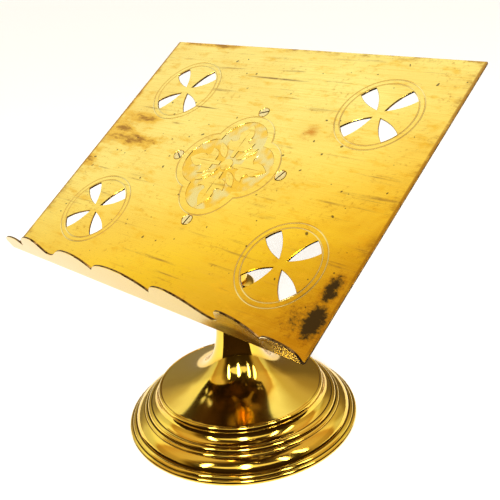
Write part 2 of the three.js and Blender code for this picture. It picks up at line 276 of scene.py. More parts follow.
def cut(piece, tool, operation="DIFFERENCE"):
    """The piece after an exact boolean with the tool, which is then removed."""
    change = piece.modifiers.new("cut", "BOOLEAN")
    change.operation = operation
    change.solver = "EXACT"
    change.object = tool
    bpy.context.view_layer.update()
    settled(piece)
    bpy.data.objects.remove(tool)
    return piece


def block(name, low, high):
    """A box used as a cutting tool."""
    corners = [(x, y, z) for x in (low[0], high[0]) for y in (low[1], high[1]) for z in (low[2], high[2])]
    faces = [(0, 1, 3, 2), (4, 6, 7, 5), (0, 4, 5, 1), (2, 3, 7, 6), (0, 2, 6, 4), (1, 5, 7, 3)]
    return made(name, corners, faces)


# ---------------------------------------------------------------- shader helpers

class Nodes:
    """A node tree that starts empty, with one call for making and linking a node."""

    def __init__(self, tree):
        self.tree = tree
        tree.nodes.clear()

    def node(self, kind, inputs=None, **settings):
        """A new node with its settings, and with links or plain values for its inputs."""
        made_node = self.tree.nodes.new(kind)
        for key, value in settings.items():
            setattr(made_node, key, value)
        for key, value in (inputs or {}).items():
            self.put(made_node.inputs[key], value)
        return made_node

    def put(self, socket, value):
        """A link or a plain value for the socket."""
        if isinstance(value, bpy.types.NodeSocket):
            self.tree.links.new(value, socket)
        else:
            socket.default_value = value


class Shader(Nodes):
    """A material's nodes, with short calls for what the brass needs."""

    def __init__(self, name, on_desk=False):
        self.material = bpy.data.materials.new(name)
        self.material.use_nodes = True
        super().__init__(self.material.node_tree)
        self.surface = self.node("ShaderNodeBsdfPrincipled", {"Metallic": 1})
        self.node("ShaderNodeOutputMaterial", {"Surface": self.surface.outputs[0]})
        self.place = self.node("ShaderNodeTexCoord").outputs["Object"]
        if on_desk:
            desk = {"Vector": self.place, "Location": DESK_CENTRE * MM, "Rotation": (DESK_TILT, 0, 0)}
            self.place = self.node("ShaderNodeMapping", desk, vector_type="TEXTURE").outputs[0]

    def stretched(self, scale, offset=(0, 0, 0), source=None):
        """The object's coordinates scaled along each axis."""
        inputs = {"Vector": source or self.place, "Location": offset, "Scale": scale}
        return self.node("ShaderNodeMapping", inputs).outputs[0]

    def noise(self, vector, scale=1, detail=4, roughness=0.55, distortion=0):
        """Noise around 0.5 at the vector."""
        noise = self.node("ShaderNodeTexNoise", {
            "Vector": vector, "Scale": scale, "Detail": detail, "Roughness": roughness,
            "Distortion": distortion})
        return noise.outputs["Fac"]

    def ramp(self, value, low, high, start=0, end=1):
        """A smooth step of value from start at low to end at high."""
        inputs = {"Value": value, "From Min": low, "From Max": high, "To Min": start, "To Max": end}
        return self.node("ShaderNodeMapRange", inputs, interpolation_type="SMOOTHSTEP").outputs[0]

    def calculated(self, operation, *values):
        """The result of one of Blender's math operations."""
        return self.node("ShaderNodeMath", dict(enumerate(values)), operation=operation).outputs[0]

    def times(self, a, b):
        return self.calculated("MULTIPLY", a, b)

    def times_plus(self, a, b, c):
        """a times b, plus c."""
        return self.calculated("MULTIPLY_ADD", a, b, c)

    def larger(self, a, b):
        return self.calculated("MAXIMUM", a, b)

    def mix(self, amount, a, b):
        """Colour a turning into colour b by the amount."""
        a, b = ((*colour, 1) if isinstance(colour, tuple) else colour for colour in (a, b))
        return self.node("ShaderNodeMix", {0: amount, 6: a, 7: b}, data_type="RGBA").outputs[2]

    def axes(self):
        """X, Y and Z of the object's coordinates."""
        return self.node("ShaderNodeSeparateXYZ", {0: self.place}).outputs

    def attribute(self, name):
        """A value kept in the mesh."""
        return self.node("ShaderNodeAttribute", attribute_name=name).outputs["Fac"]

    def crevices(self, reach, clear, full, most=1):
        """How deep a place lies in a crevice, from 0 in the open, seen over so many millimetres."""
        hidden = self.node("ShaderNodeAmbientOcclusion", {"Distance": reach * MM}, samples=6, only_local=True)
        return self.ramp(hidden.outputs["AO"], clear, full, 0, most)

    def blob(self, x, y, half_width, half_height, source=None):
        """1 at a place on the desk falling to 0 at an ellipse round it."""
        scale = (1 / half_width, 1 / half_height, 0)
        shifted = self.stretched(scale, (-x / half_width, -y / half_height, 0), source)
        length = self.node("ShaderNodeVectorMath", {0: shifted}, operation="LENGTH")
        return self.ramp(length.outputs["Value"], 0.1, 1, 1, 0)

    def blobs(self, *places):
        """Several blobs as one, from the x, y, half width and half height of each."""
        whole = self.blob(*places[0])
        for place in places[1:]:
            whole = self.larger(whole, self.blob(*place))
        return whole

    def round_place(self):
        """A point by its radius and height only, so that a pattern runs round the turned piece."""
        x, y, z = self.axes()
        squares = self.calculated("ADD", self.times(x, x), self.times(y, y))
        radius = self.calculated("SQRT", squares)
        return self.joined(radius, z)

    def joined(self, a, b):
        """A vector with a and b as its X and Y."""
        return self.node("ShaderNodeCombineXYZ", {0: a, 1: b}).outputs[0]

    def bump(self, *layers):
        """Bump from pairs of height and depth in millimetres."""
        normal = None
        for height, depth in layers:
            inputs = {"Height": height, "Distance": depth * MM, "Strength": 1}
            if normal is not None:
                inputs["Normal"] = normal
            normal = self.node("ShaderNodeBump", inputs).outputs[0]
        self.put(self.surface.inputs["Normal"], normal)

    def finish(self, colour, roughness):
        """The material, with its colour and roughness."""
        self.put(self.surface.inputs["Base Color"], colour)
        self.put(self.surface.inputs["Roughness"], roughness)
        return self.material


GOLD = (0.88, 0.57, 0.07)
DULL_GOLD = (0.83, 0.50, 0.06)
DEEP_GOLD = (0.80, 0.42, 0.03)
WARM_GOLD = (0.88, 0.50, 0.012)
PALE_GOLD = (0.95, 0.70, 0.15)
SHADED_GOLD = (0.60, 0.29, 0.006)
TAN = (0.80, 0.40, 0.012)
ORANGE_BROWN = (0.50, 0.21, 0.008)
BROWN = (0.22, 0.10, 0.02)
RED_BROWN = (0.30, 0.10, 0.004)
DARK = (0.05, 0.028, 0.01)
NEAR_BLACK = (0.035, 0.020, 0.006)

# Marks and a painted dark reflection on the desk as ellipses: x, y, half width and half height in metres.
WORN_PLACES = (
    (-0.162, 0.014, 0.034, 0.032), (-0.130, 0.007, 0.055, 0.016), (-0.150, 0.034, 0.045, 0.012),
    (-0.172, -0.026, 0.016, 0.020), (-0.125, 0.139, 0.075, 0.006), (-0.177, 0.05, 0.007, 0.11))
# Painted reflection of the dark room at the lower-right corner: black patches and a brown haze.
BLACK_PATCHES = ((0.166, -0.083, 0.012, 0.022), (0.166, -0.110, 0.015, 0.026))
BROWN_HAZE = (0.151, -0.114, 0.018, 0.024)
LONG_STREAKS = ((-0.012, 0.102, 0.050, 0.0016), (-0.075, 0.058, 0.030, 0.0012))
STAIN = (0.062, 0.047, 0.011, 0.012)
# The painted dark reflection on the ledge as an ellipse the same way, with the height above the desk's face
# in place of y.
LEDGE_DARK_REFLECTION = (0.120, 0, 0.040, 0.024)


def turned_brass(name, ring_depth):
    """Lathe-polished brass: faint rings round it, cloudy patina, and the grooves darkened by dirt and painted
    shade.
    """
    s = Shader(name)
    rings = s.noise(s.stretched((900, 900, 900), source=s.round_place()), detail=2)
    clouds = s.noise(s.place, 18, 5, 0.6)
    specks = s.noise(s.place, 420, 3, 0.7)
    colour = s.mix(s.ramp(clouds, 0.4, 0.7), GOLD, DULL_GOLD)
    colour = s.mix(s.ramp(specks, 0.66, 0.8, 0, 0.45), colour, BROWN)
    # Dirt and painted shade: the grooves and crevices darken towards near black.
    grime_and_shade = s.crevices(2.6, 0.80, 0.42, 0.95)
    colour = s.mix(grime_and_shade, colour, DARK)
    roughness = s.times_plus(clouds, 0.10, 0.04)
    roughness = s.times_plus(grime_and_shade, 0.3, roughness)
    s.bump((rings, ring_depth), (s.noise(s.place, 26, 2), 0.10))
    return s.finish(colour, roughness)


def sheet_gold(s, scratches, patches):
    """The desk's gold: paler up the slope and to the left as painted light, darker to the lower right as
    painted shade, with scratches, grain and lengthwise brown streaks.
    """
    x, y, _ = s.axes()
    up_and_left = s.times_plus(x, -0.5, y)
    wide = s.noise(s.stretched((1, 1.7, 1), (0.4, 0.1, 0)), 9, 2)
    grain = s.noise(s.stretched((1, 2.5, 1)), 900, 2)
    streaks = s.noise(s.stretched((7, 190, 1), (0.31, 0.2, 0)), detail=3, roughness=0.6)
    # Painted light and shade: pale gold towards the upper left, shaded gold towards the lower right.
    colour = s.mix(s.ramp(up_and_left, -0.13, 0.06), WARM_GOLD, PALE_GOLD)
    colour = s.mix(s.ramp(up_and_left, -0.085, -0.17, 0, 0.75), colour, SHADED_GOLD)
    colour = s.mix(s.ramp(wide, 0.35, 0.7, 0, 0.3), colour, DEEP_GOLD)
    colour = s.mix(s.ramp(scratches, 0.45, 0.75, 0, 0.6), colour, DEEP_GOLD)
    colour = s.mix(s.ramp(grain, 0.55, 0.75, 0, 0.35), colour, DEEP_GOLD)
    streak = s.times(s.ramp(streaks, 0.56, 0.72), s.ramp(patches, 0.42, 0.62))
    return s.mix(s.times(streak, 0.75), colour, BROWN)


def sheet_edging(s, patches, mottle):
    """Where the desk is brown along its sides and top: a ragged band, and a thin line at the sides."""
    x, y, _ = s.axes()
    half_width = DESK_WIDTH / 2 * MM
    half_length = DESK_LENGTH / 2 * MM
    from_middle = s.calculated("ABSOLUTE", x)
    near_side = s.ramp(from_middle, half_width - 0.010, half_width - 0.0005)
    near_top = s.ramp(y, half_length - 0.007, half_length - 0.0005)
    band = s.times(s.larger(near_side, near_top), s.ramp(mottle, 0.42, 0.62))
    band = s.times(band, s.ramp(patches, 0.42, 0.58))
    line = s.ramp(from_middle, half_width - 0.0034, half_width - 0.0012)
    return s.larger(band, s.times(line, s.ramp(patches, 0.30, 0.44)))


def sheet_brass():
    """The desk's polished face: scratches, patina, a painted dark reflection at the lower-right corner, a few
    marks, and the engraving with painted highlights.
    """
    s = Shader("sheet_brass", on_desk=True)
    scratches = s.noise(s.stretched((14, 1400, 1)), detail=3, roughness=0.7)
    patches = s.noise(s.stretched((1, 1.5, 1)), 22, 5, 0.62)
    mottle = s.noise(s.stretched((0.45, 1.3, 1)), 75, 5, 0.7)
    colour = sheet_gold(s, scratches, patches)

    blotched = s.times_plus(s.blobs(*WORN_PLACES), 0.28, mottle)
    dirt = s.larger(s.ramp(blotched, 0.69, 0.86), sheet_edging(s, patches, mottle))
    colour = s.mix(s.times(s.ramp(blotched, 0.50, 0.72), 0.8), colour, TAN)
    colour = s.mix(s.times(dirt, 0.75), colour, RED_BROWN)

    # Painted reflection of the dark room at the lower-right corner: black patches in a brown halo.
    corner = s.larger(s.blobs(*BLACK_PATCHES), s.times(s.blob(*BROWN_HAZE), 0.5))
    reflection_mottle = s.noise(s.stretched((1, 1.3, 1)), 210, 4, 0.7)
    corner_reflection = s.times_plus(corner, 0.42, s.times_plus(reflection_mottle, 0.7, s.times(patches, 0.4)))
    colour = s.mix(s.times(s.ramp(corner_reflection, 0.58, 0.78), 0.7), colour, ORANGE_BROWN)
    black = s.ramp(corner_reflection, 0.70, 0.92, 0, 0.95)
    colour = s.mix(black, colour, NEAR_BLACK)

    colour = s.mix(s.times(s.blobs(*LONG_STREAKS), s.ramp(mottle, 0.3, 0.5)), colour, BROWN)
    colour = s.mix(s.times(s.blob(*STAIN), s.ramp(mottle, 0.38, 0.6)), colour, (0.62, 0.24, 0.02))
    specks = s.ramp(s.noise(s.place, 165, 1, 0.4), 0.735, 0.775)
    colour = s.mix(s.times(specks, 0.8), colour, DARK)

    ground = s.attribute("ground")
    worn_ground = s.ramp(s.noise(s.place, 55, 2), 0.38, 0.56)
    colour = s.mix(s.times(ground, 0.85), colour, s.mix(worn_ground, (0.78, 0.60, 0.20), (0.86, 0.47, 0.03)))
    # Painted highlight: the engraved lines turn paler and brighter.
    engraved = s.attribute("engraved")
    colour = s.mix(s.times(engraved, 0.8), colour, (1.0, 0.82, 0.30))

    roughness = s.times_plus(scratches, 0.12, 0.08)
    for place, extra in ((dirt, 0.15), (black, 0.30), (ground, 0.06), (engraved, 0.15)):
        roughness = s.times_plus(place, extra, roughness)
    lines = {"Vector": s.place, "Scale": 260, "Distortion": 0.6}
    hatch = s.node("ShaderNodeTexWave", lines, bands_direction="DIAGONAL")
    hatched = s.times(hatch.outputs["Fac"], ground)
    waves = s.noise(s.stretched((1, 1.4, 1)), 24, 2, 0.5, 0.4)
    fine = s.noise(s.stretched((60, 3600, 1)), detail=2)
    s.bump((waves, 0.30), (scratches, 0.010), (fine, 0.006), (hatched, 0.06))
    return s.finish(colour, roughness)


def ledge_brass():
    """The ledge's outer face: pale and paler to the left as painted light, palest at its right end as painted
    light, and dark low down at its right end as a painted reflection.
    """
    s = Shader("ledge_brass", on_desk=True)
    x, _, z = s.axes()
    clouds = s.noise(s.place, 26, 4, 0.6)
    scratches = s.noise(s.stretched((14, 1200, 1200)), detail=3, roughness=0.7)
    # Painted light: a pale face standing in for the floor's reflection, paler to the left.
    colour = s.mix(s.ramp(x, -0.14, 0.05), (0.70, 0.50, 0.16), (0.66, 0.45, 0.065))
    colour = s.mix(s.ramp(clouds, 0.35, 0.7, 0, 0.4), colour, (0.70, 0.46, 0.12))
    colour = s.mix(s.ramp(scratches, 0.55, 0.85, 0, 0.3), colour, (0.5, 0.30, 0.06))
    # Painted light: paler still towards the right end.
    lit_end = s.ramp(x, 0.120, 0.145)
    colour = s.mix(lit_end, colour, (1.0, 0.86, 0.50))
    # Painted reflection: dark low down at the right end.
    dark_reflection = s.ramp(s.blob(*LEDGE_DARK_REFLECTION, s.joined(x, z)), 0.1, 0.6, 0, 0.9)
    colour = s.mix(dark_reflection, colour, (0.12, 0.05, 0.006))
    s.bump((clouds, 0.2), (scratches, 0.005))
    roughness = s.times_plus(clouds, 0.12, 0.06)
    return s.finish(colour, s.times_plus(lit_end, 0.14, roughness))


def underside_brass():
    """The desk's underside: very dark brown, mottled."""
    s = Shader("underside_brass")
    clouds = s.noise(s.place, 16, 6, 0.65)
    mottle = s.noise(s.place, 130, 4, 0.7)
    colour = s.mix(s.ramp(clouds, 0.4, 0.65), (0.014, 0.007, 0.002), (0.09, 0.038, 0.008))
    colour = s.mix(s.ramp(mottle, 0.5, 0.7, 0, 0.7), colour, (0.015, 0.009, 0.004))
    s.bump((clouds, 0.15), (mottle, 0.02))
    return s.finish(colour, s.times_plus(mottle, 0.3, 0.42))


def edge_brass():
    """Sawn and filed edges, brown in the saw marks."""
    s = Shader("edge_brass", on_desk=True)
    marks = s.noise(s.stretched((300, 300, 60)), detail=3)
    colour = s.mix(s.ramp(marks, 0.4, 0.6), (0.06, 0.030, 0.010), (0.26, 0.14, 0.035))
    s.bump((marks, 0.03))
    return s.finish(colour, s.times_plus(marks, 0.2, 0.25))


def cast_brass():
    """Sand-cast brass as it left the mould, dull brown with rubbed high spots."""
    s = Shader("cast_brass")
    sand = s.noise(s.place, 700, 4, 0.7)
    clouds = s.noise(s.place, 40, 5, 0.6)
    colour = s.mix(s.ramp(clouds, 0.35, 0.7), (0.30, 0.19, 0.07), (0.46, 0.31, 0.12))
    colour = s.mix(s.ramp(sand, 0.62, 0.78, 0, 0.6), colour, (0.12, 0.07, 0.03))
    s.bump((clouds, 0.25), (sand, 0.05))
    return s.finish(colour, s.times_plus(sand, 0.3, 0.38))


def screw_brass():
    """Turned screw heads, with dirt and painted shade darkening the slots and hollows."""
    s = Shader("screw_brass")
    marks = s.noise(s.place, 1500, 3, 0.6)
    colour = s.mix(s.ramp(marks, 0.4, 0.7), (0.90, 0.70, 0.28), (0.70, 0.47, 0.13))
    # Dirt and painted shade: darker in the slot and the hollows round the head.
    colour = s.mix(s.crevices(1.3, 0.92, 0.55), colour, DARK)
    s.bump((marks, 0.02))
    return s.finish(colour, s.times_plus(marks, 0.25, 0.12))


def dark_steel():
    """Mild steel gone dark, with specks of rust."""
    s = Shader("dark_steel")
    grain = s.noise(s.stretched((900, 900, 120)), detail=3)
    rust = s.noise(s.place, 150, 5, 0.7)
    colour = s.mix(s.ramp(grain, 0.4, 0.7), (0.16, 0.15, 0.145), (0.28, 0.265, 0.25))
    colour = s.mix(s.ramp(rust, 0.58, 0.7, 0, 0.7), colour, (0.20, 0.08, 0.03))
    s.bump((grain, 0.02), (rust, 0.04))
    return s.finish(colour, s.times_plus(rust, 0.4, 0.25))


# ---------------------------------------------------------------- foot, column, collar and stem

def foot_piece():
    """The stepped foot, with a polished outside and a rough hollow."""
    rim = FOOT_RADIUS
    seat = DISH_RADIUS + GAP
    rod_hole = ROD_HOLE + GAP
    web_top, web_underside, web_edge = 33.9, 28.9, 70
    hollow_edge, hollow_foot = 98.5, 3
    p = Outline(rim - 11, 0).line(rim - 1.7, 0)
    p.quad(rim, 0.2, rim, 2.6).quad(rim, 4.8, rim - 2.2, 5.1)
    p.line(rim - 2.8, 4.4).quad(rim - 3.1, 7.4, rim - 6, 7.6)
    p.line(rim - 6.7, 6.9).line(rim - 6.9, 8.4).quad(rim - 8.1, 14.4, rim - 15.2, 17.7, 14)
    p.line(rim - 15.8, 17.2).quad(rim - 16.2, 19.5, rim - 18.1, 19.6)
    p.line(rim - 18.8, 18.6).line(rim - 19.1, 19.9).quad(rim - 19.3, 23.3, rim - 22.5, 23.4)
    p.line(rim - 23.2, 22.4).line(rim - 23.5, 23.5).quad(rim - 29.6, 25.8, rim - 30.1, 32.4, 12)
    p.line(rim - 30.9, 32.4).quad(rim - 30.6, 36.2, rim - 32.8, 36.6)
    p.line(seat, 36.2).line(seat, web_top).line(rod_hole, web_top).line(rod_hole, web_underside)
    p.line(web_edge, web_underside).line(74, 25.5).line(88, 13).line(hollow_edge, hollow_foot)

    def in_hollow(a, b):
        """Whether the profile's edge from a to b lies on the rough inside."""
        middle = (a + b) / 2
        slope = (web_underside - hollow_foot) / (hollow_edge - web_edge)
        return middle.x < seat - 0.1 or middle.y < web_underside + 1.5 - slope * (middle.x - web_edge)

    return finished(lathe("foot_turning", softened(p.points, 0.35), 288, in_hollow), 50, FOOT, CAST)


def column_piece():
    """The trumpet-shaped column and its shallow dish."""
    plug_underside = 112
    lip_foot, lip_inside = 34.2, DISH_RADIUS - 3.3
    neck, neck_outside, neck_inside = 100, 17.4, 14.7
    p = Outline(lip_inside, lip_foot).line(DISH_RADIUS, lip_foot).line(DISH_RADIUS, DISH_HEIGHT - 0.4)
    p.line(DISH_RADIUS - 0.5, DISH_HEIGHT).cubic(38, 45, 19.6, 52, neck_outside, neck, 64)
    p.line(16.4, COLUMN_TOP - 0.5).line(15.9, COLUMN_TOP).line(ROD_HOLE, COLUMN_TOP)
    p.line(ROD_HOLE, plug_underside).line(13.6, plug_underside).line(neck_inside, neck)
    p.cubic(16.9, 50, 38.5, 42, lip_inside, lip_foot, 24)
    return finished(lathe("column_turning", softened(p.points[:-1], 0.3), 256), 50, TURNED)


def collar_piece():
    """The half-round collar at the swivel."""
    bore, sink, sink_floor = 8.3, 11.9, 138.7
    underside = collar_low.z
    p = Outline(bore, underside).line(17.2, underside)
    p.quad(COLLAR_RADIUS, underside + 0.5, COLLAR_RADIUS, underside + 4.9, 10)
    p.quad(COLLAR_RADIUS, COLLAR_TOP - 1.2, 17, COLLAR_TOP, 10)
    p.line(sink, COLLAR_TOP).line(sink, sink_floor).line(bore, sink_floor)
    return finished(lathe("collar_turning", softened(p.points, 0.3, 30), 192), 50, TURNED)


def stem_piece():
    """The stem over the pin, with its tenon and the retaining screw's hole."""
    bore, bore_top, tenon = 9.1, 206, 10.5
    foot, shoulder, top = stem_low.z, 214, stem_high.z
    p = Outline(0, bore_top).line(bore, bore_top).line(bore, foot).line(STEM_RADIUS, foot)
    p.line(STEM_RADIUS, shoulder).line(tenon, shoulder).line(tenon, top).line(0, top)
    piece = lathe("stem_turning", softened(p.points, 0.6)[2:-2], 160)
    hole_radius = 2.5
    hole = lathe("hole", [Vector(v) for v in ((0, 7), (hole_radius, 7), (hole_radius, 20), (0, 20))], 48)
    hole.data.transform(Matrix.Rotation(-math.pi / 2, 4, "X"))
    hole.data.transform(Matrix.Translation((0, 0, RETAINER_HEIGHT * MM)))
    return finished(cut(piece, hole), 50, TURNED)


# ---------------------------------------------------------------- desk

def fold(x, u, depth):
    """A point of the flat sheet after folding. u runs up the slope from the fold and is negative on the
    ledge; depth is measured down from the upper face."""
    if u >= 0:
        return Vector((x, FOLD_Y + u, -depth))
    turned_by = -u / INSIDE_BEND
    along = 0
    if turned_by > BEND:
        along = (turned_by - BEND) * INSIDE_BEND
        turned_by = BEND
    angle = -math.pi / 2 - turned_by
    radius = INSIDE_BEND + depth
    y = FOLD_Y + radius * math.cos(angle) + along * math.sin(LEDGE_LEAN)
    z = INSIDE_BEND + radius * math.sin(angle) + along * math.cos(LEDGE_LEAN)
    return Vector((x, y, z))


BEND = math.pi / 2 + LEDGE_LEAN
BEND_LENGTH = INSIDE_BEND * BEND
FOLD_Y = -DESK_LENGTH / 2 + OUTSIDE_BEND / math.cos(LEDGE_LEAN) + INSIDE_BEND * math.tan(LEDGE_LEAN)
LEDGE_START = (INSIDE_BEND + OUTSIDE_BEND * math.sin(LEDGE_LEAN)) / math.cos(LEDGE_LEAN)
ROSETTE = Vector((113.4, 75.75))
ROSETTE_OUTER = 38
ROSETTE_INNER = 32.6
LOBE_OFFSET = 24
LOBE_OUTER = 31.7
LOBE_INNER = 25.3
GROOVE_DEPTH = 0.26
GROUND_DEPTH = 0.42
FACE_SLOT, EDGE_SLOT, UNDERSIDE_SLOT, LEDGE_SLOT = range(4)


def scallop_half():
    """The ledge's edge from its end at +X to the middle, as x and height on the ledge."""
    edge = Outline(DESK_WIDTH / 2, 9)
    edge.cubic(177.6, 16, 168, 20.6, 158, 20.8, 12).quad(150.5, 20.6, 146.6, 14.6)
    edge.quad(136.5, 31.6, 120, 32.2, 12).quad(111.4, 32.2, 109.8, 24).quad(108.4, 15.6, 103, 15.6)
    edge.cubic(90, 16.4, 81, 33.2, 60, 33.4, 16).quad(44, 33.4, 36.4, 20.2, 12).quad(23.5, 33.8, 0, 34, 14)
    return edge.points


def sheet_outline(bend_steps):
    """The outline of the flat sheet, anticlockwise, with a point at each step of the bend."""
    half = DESK_WIDTH / 2
    top = DESK_LENGTH / 2 - FOLD_Y
    corner = 1.6
    right = Outline(half, bend_steps[-1])
    for u in reversed(bend_steps[:-1]):
        right.line(half, u)
    right.line(half, top - corner).quad(half, top, half - corner, top, 5)
    up_right = right.points
    down_left = [Vector((-p.x, p.y)) for p in reversed(up_right)]
    to_u = [Vector((p.x, -(BEND_LENGTH + p.y - LEDGE_START))) for p in scallop_half()]
    left_scallops = [Vector((-p.x, p.y)) for p in to_u]
    right_scallops = list(reversed(to_u))
    return up_right + down_left + left_scallops + right_scallops[1:]


def petal(angle, centre):
    """One petal-shaped piercing, with its round end on the rosette's inner circle."""
    spread = math.radians(12)
    tip, belly = 5.4, 7.6
    midway = (tip + ROSETTE_INNER) / 2
    end = [(ROSETTE_INNER * math.cos(a), ROSETTE_INNER * math.sin(a))
           for a in (-spread + spread * i / 3 for i in range(7))]
    p = Outline(tip, 0).quad(midway, -belly, *end[0], 12)
    for point in end[1:]:
        p.line(*point)
    p.quad(midway, belly, tip, 0, 12)
    return turned_about(p.points[:-1], angle, centre)


def quatrefoil(radius, centre_y):
    """Four overlapping lobes as one outline."""
    steps = 30
    half = math.pi / 4 + math.asin(LOBE_OFFSET / math.sqrt(2) / radius)
    points = []
    for lobe in range(4):
        angle = lobe * math.pi / 2
        for i in range(steps):
            around = angle - half + 2 * half * i / steps
            x = LOBE_OFFSET * math.cos(angle) + radius * math.cos(around)
            y = LOBE_OFFSET * math.sin(angle) + radius * math.sin(around)
            points.append(Vector((x, centre_y + y)))
    return points


def leaves(centre_y):
    """Outlines of the ornament's raised leaves, and the vein of each."""
    outlines = [circle(0, centre_y, 6, 40)]
    veins = []
    for i in range(4):
        angle = i * math.pi / 2
        fleur = Outline(8.4, -2).line(16, -2.4).quad(14, -13, 26.5, -14.5).quad(23, -9, 28, -5.2)
        fleur.quad(34, -11, 45.5, 0).quad(34, 11, 28, 5.2).quad(23, 9, 26.5, 14.5)
        fleur.quad(14, 13, 16, 2.4).line(8.4, 2)
        outlines.append(turned_about(fleur.points, angle, (0, centre_y)))
        slim = Outline(9.5, 0).quad(19, -7, 30.5, 0, 12).quad(19, 7, 9.5, 0, 12)
        outlines.append(turned_about(slim.points[:-1], angle + math.pi / 4, (0, centre_y)))
        veins.append(turned_about([Vector((12, 0)), Vector((42, 0))], angle, (0, centre_y)))
        veins.append(turned_about([Vector((12.5, 0)), Vector((27.5, 0))], angle + math.pi / 4, (0, centre_y)))
    return outlines, veins


class SheetLayout:
    """Everything drawn on the flat sheet: rails, each with its depth on the upper and lower face."""

    def __init__(self):
        self.points, self.depths, self.edges, self.holes, self.sunk = [], [], [], [], []

    def rail(self, points, upper=0, lower=SHEET, closed=True):
        """A line of points, all at one depth."""
        start = len(self.points)
        self.points += points
        self.depths += [(upper, lower)] * len(points)
        last = len(self.points) - 1
        self.edges += [(i, i + 1) for i in range(start, last)]
        if closed:
            self.edges.append((last, start))

    def groove(self, points):
        """An engraved line of V section along a closed outline."""
        width = 1.5
        self.rail(grown(points, width / 2))
        self.rail(points, GROOVE_DEPTH)
        self.rail(grown(points, -width / 2))

    def hole(self, points):
        """A piercing, with rounded edges on both faces."""
        rounding = 0.3
        self.rail(grown(points, rounding))
        self.rail(points, rounding * 0.8, SHEET - rounding * 0.8)
        self.holes.append(points)

    def slit(self, ends):
        """An engraved vein that tapers to nothing at both ends."""
        width = 0.8
        a, b = ends
        middle = (a + b) / 2
        side = (b - a).normalized().orthogonal() * width / 2
        self.rail([a, middle - side, b, middle + side])
        self.rail([a.lerp(b, 0.12), middle, a.lerp(b, 0.88)], GROOVE_DEPTH, closed=False)


def desk_layout():
    """The whole sheet laid out flat, and its outline."""
    bend_count = 12
    bend_steps = [-BEND_LENGTH * i / bend_count for i in range(bend_count + 1)]
    layout = SheetLayout()
    outline = sheet_outline(bend_steps)
    rounding = 0.35
    layout.rail(outline, rounding * 0.8, SHEET - rounding * 0.8)
    layout.rail(grown(outline, -rounding))
    half = DESK_WIDTH / 2
    for u in bend_steps:
        stops = [Vector((x, u)) for x in (-half, rounding - half, half - rounding, half)]
        for ends in zip(stops, stops[1:]):
            layout.rail(list(ends), closed=False)
    middle = -FOLD_Y
    for side_x in (-1, 1):
        for side_y in (-1, 1):
            centre = Vector((side_x * ROSETTE.x, middle + side_y * ROSETTE.y))
            layout.groove(circle(*centre, ROSETTE_OUTER, 128))
            layout.groove(circle(*centre, ROSETTE_INNER + 0.9, 112))
            for i in range(4):
                layout.hole(petal((i + 0.5) * math.pi / 2, centre))
    layout.groove(quatrefoil(LOBE_OUTER, middle))
    slope = 0.4
    ground = quatrefoil(LOBE_INNER, middle)
    layout.rail(ground)
    layout.rail(grown(ground, -slope), GROUND_DEPTH)
    outlines, veins = leaves(middle)
    for leaf in outlines:
        layout.rail(leaf)
        layout.rail(grown(leaf, slope), GROUND_DEPTH)
    for vein in veins:
        layout.slit(vein)
    layout.sunk = [ground, *outlines]
    softening = 0.15
    for angle, _ in SCREWS.values():
        x, y = screw_spot(angle)
        y += middle
        layout.rail(circle(x, y, SCREW_HEAD + GAP + softening, 64))
        layout.rail(circle(x, y, SCREW_HEAD + GAP, 64), softening)
        bore = circle(x, y, SCREW_RADIUS + 1.6, 64)
        layout.rail(bore, SHEET - 0.1)
        layout.holes.append(bore)
    return layout, outline


def point_depths(layout, points, origins):
    """The upper and lower depth of each triangulated point, from the rails that it came from."""
    depths = []
    for origin, point in zip(origins, points):
        if origin:
            depths.append(max((layout.depths[i] for i in origin), key=lambda d: d[0] - d[1]))
        else:
            nearest = min(range(len(layout.points)), key=lambda i: (layout.points[i] - point).length_squared)
            depths.append(layout.depths[nearest])
    return depths


def sheet_triangles(layout, outline, points, triangles):
    """The triangles within the outline, without those in the holes."""
    whole = Region(outline)
    holes = [Region(hole) for hole in layout.holes]
    kept = []
    for triangle in triangles:
        centre = sum((points[i] for i in triangle), Vector((0, 0))) / 3
        if centre in whole and not any(centre in hole for hole in holes):
            kept.append(triangle)
    return kept


def keep_values(piece, name, upper):
    """Values of the upper face's points kept in the mesh, with 0 for the lower face's."""
    kept = piece.data.attributes.new(name, "FLOAT", "POINT")
    kept.data.foreach_set("value", [float(value) for value in upper] + [0.0] * len(upper))


def desk_piece():
    """The pierced, engraved and folded sheet."""
    layout, outline = desk_layout()
    points, _, triangles, origins, *_ = delaunay_2d_cdt(layout.points, layout.edges, [], 0, 1e-4, True)
    depths = point_depths(layout, points, origins)
    kept = sheet_triangles(layout, outline, points, triangles)
    used = sorted({i for triangle in kept for i in triangle})
    number = {old: new for new, old in enumerate(used)}
    count = len(used)
    vertices = [fold(*points[i], depths[i][0]) for i in used]
    vertices += [fold(*points[i], depths[i][1]) for i in used]
    faces, slots, sides = [], [], []
    for triangle in kept:
        a, b, c = (number[i] for i in triangle)
        on_desk = sum(points[i].y for i in triangle) > 0
        faces += [(a, b, c), (count + c, count + b, count + a)]
        slots += [FACE_SLOT, UNDERSIDE_SLOT if on_desk else LEDGE_SLOT]
        sides += [(a, b), (b, c), (c, a)]
    known = set(sides)
    for a, b in sides:
        if (b, a) not in known:
            faces.append((b, a, count + a, count + b))
            slots.append(EDGE_SLOT)
    piece = made("desk_sheet", vertices, faces, DESK_FRAME, slots)
    field, *islands = (Region(part) for part in layout.sunk)
    keep_values(piece, "ground", [
        depths[i][0] == GROUND_DEPTH and points[i] in field and not any(points[i] in leaf for leaf in islands)
        for i in used])
    keep_values(piece, "engraved", [depths[i][0] == GROOVE_DEPTH for i in used])
    weights = piece.modifiers.new("normals", "WEIGHTED_NORMAL")
    weights.keep_sharp = True
    return finished(piece, 12, SHEET_FACE, EDGE, UNDERSIDE, LEDGE)


